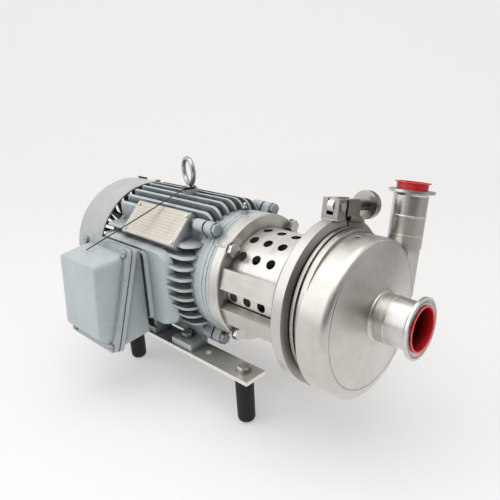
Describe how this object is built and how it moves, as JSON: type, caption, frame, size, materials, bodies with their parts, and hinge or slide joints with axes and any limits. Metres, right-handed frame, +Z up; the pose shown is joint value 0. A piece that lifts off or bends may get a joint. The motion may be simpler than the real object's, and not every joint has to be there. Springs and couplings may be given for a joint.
{
  "type": "sanitary centrifugal pump",
  "caption": "Close-coupled sanitary centrifugal pump: clamped drum casing with ferrule ports, perforated shaft guard and finned electric motor on rails with rubber legs.",
  "frame": {"origin": "centre of the suction ferrule's sealing face, on the shaft axis", "axes": "+X out of the suction along the shaft axis, +Z up, so the terminal box is on the -Y side and the discharge leans to +Y"},
  "size_m": [0.5074, 0.2854, 0.2963],
  "materials": {
    "motor_paint": "satin",
    "fan_cover_paint": "satin",
    "zinc_steel": "satin",
    "lamination_steel": "matte",
    "copper_winding": "satin",
    "bearing_steel": "polished",
    "motor_bolt_steel": "satin",
    "black_gasket": "matte",
    "phenolic": "matte",
    "eyebolt_steel": "satin",
    "black_nylon": "satin",
    "stainless_bolt": "satin",
    "stainless_rail": "satin",
    "black_rubber": "matte",
    "plate_metal": "satin",
    "cast_stainless": "satin",
    "stainless_sheet": "satin",
    "polished_stainless": "polished",
    "white_seal": "matte",
    "seal_ceramic": "gloss",
    "seal_carbon": "satin",
    "spring_steel": "satin",
    "clamp_steel": "satin",
    "clamp_pin_steel": "satin",
    "knob_steel": "satin",
    "satin_stainless": "bead-blasted satin",
    "ferrule_stainless": "satin",
    "red_plug": "gloss",
    "shaft_steel": "ground",
    "rotor_aluminium": "as cast",
    "fan_plastic": "matte",
    "impeller_stainless": "satin"
  },
  "bodies": {
    "motor_and_base": {"motor_frame": "motor_paint", "front_endbell": "motor_paint", "rear_endbell": "motor_paint", "fan_cover": "fan_cover_paint", "fan_cover_screws": "zinc_steel", "stator_core": "lamination_steel", "stator_windings": "copper_winding", "bearing_outer_rings": "bearing_steel", "bearing_balls": "bearing_steel", "endbell_bolts": "motor_bolt_steel", "conduit_gasket": "black_gasket", "conduit_box": "motor_paint", "conduit_cover_gasket": "black_gasket", "conduit_cover": "motor_paint", "conduit_cover_screws": "motor_bolt_steel", "terminal_block": "phenolic", "eyebolt": "eyebolt_steel", "tie_loop": "black_nylon", "tie_tail": "black_nylon", "foot_bolts": "stainless_bolt", "foot_nuts": "stainless_bolt", "base_washers": "stainless_bolt", "leg_bolts": "stainless_bolt", "base_rail_near": "stainless_rail", "base_rail_far": "stainless_rail", "rubber_leg_front_near": "black_rubber", "rubber_leg_front_far": "black_rubber", "rubber_leg_rear_near": "black_rubber", "rubber_leg_rear_far": "black_rubber", "nameplate": "plate_metal", "nameplate_rivets": "zinc_steel", "adapter": "cast_stainless", "guard": "stainless_sheet", "adapter_bolts": "stainless_bolt", "adapter_washers": "stainless_bolt", "back_plate": "polished_stainless", "seal_seat": "seal_ceramic", "clamp_hinge_pin": "clamp_pin_steel"},
    "rotor": {"motor_shaft": "shaft_steel", "rotor_core": "rotor_aluminium", "cooling_fan": "fan_plastic", "bearing_inner_rings": "bearing_steel", "stub_shaft": "polished_stainless", "shaft_key": "shaft_steel", "impeller": "impeller_stainless", "impeller_nut": "impeller_stainless", "seal_ring": "seal_carbon", "seal_spring": "spring_steel", "seal_collar": "polished_stainless"},
    "casing": {"casing": "satin_stainless", "casing_o_ring": "white_seal", "suction_ferrule": "ferrule_stainless", "discharge_ferrule": "ferrule_stainless"},
    "suction_plug": {"suction_plug": "red_plug"},
    "discharge_plug": {"discharge_plug": "red_plug"},
    "clamp_near": {"clamp_half_near": "clamp_steel", "clamp_pivot_pin": "clamp_pin_steel"},
    "clamp_far": {"clamp_half_far": "clamp_steel"},
    "swing_bolt": {"swing_bolt": "clamp_pin_steel"},
    "knob": {"clamp_knob": "knob_steel"}
  },
  "joints": [
    {"name": "rotor_spin", "type": "hinge", "parent": "motor_and_base", "child": "rotor", "pos_m": [-0.3, 0, 0], "axis": [1, 0, 0], "continuous": true},
    {"name": "casing_swivel", "type": "hinge", "parent": "motor_and_base", "child": "casing", "pos_m": [-0.1, 0, 0], "axis": [1, 0, 0], "range_deg": [-90, 90]},
    {"name": "suction_plug_pull", "type": "slide", "parent": "casing", "child": "suction_plug", "axis": [1, 0, 0], "range_m": [0, 0.05]},
    {"name": "discharge_plug_pull", "type": "slide", "parent": "casing", "child": "discharge_plug", "axis": [0, 0.2198, 0.9755], "range_m": [-0.007, 0.045]},
    {"name": "bolt_swing", "type": "hinge", "parent": "clamp_near", "child": "swing_bolt", "pos_m": [-0.106, 0.0065, 0.10617], "axis": [1, 0, 0], "range_deg": [0, 150]},
    {"name": "clamp_near_open", "type": "hinge", "parent": "motor_and_base", "child": "clamp_near", "pos_m": [-0.106, -0.02168, -0.09619], "axis": [1, 0, 0], "range_deg": [0, 2.5]},
    {"name": "clamp_far_open", "type": "hinge", "parent": "motor_and_base", "child": "clamp_far", "pos_m": [-0.106, -0.02168, -0.09619], "axis": [1, 0, 0], "range_deg": [-2.5, 0]},
    {"name": "knob_turn", "type": "hinge", "parent": "swing_bolt", "child": "knob", "pos_m": [-0.106, 0.06698, 0.09254], "axis": [0, 0.9755, -0.2198], "continuous": true}
  ],
  "couplings": [
    {"joint": "clamp_near_open", "follows": "bolt_swing", "ratio": 0.016667},
    {"joint": "clamp_far_open", "follows": "bolt_swing", "ratio": -0.016667}
  ]
}
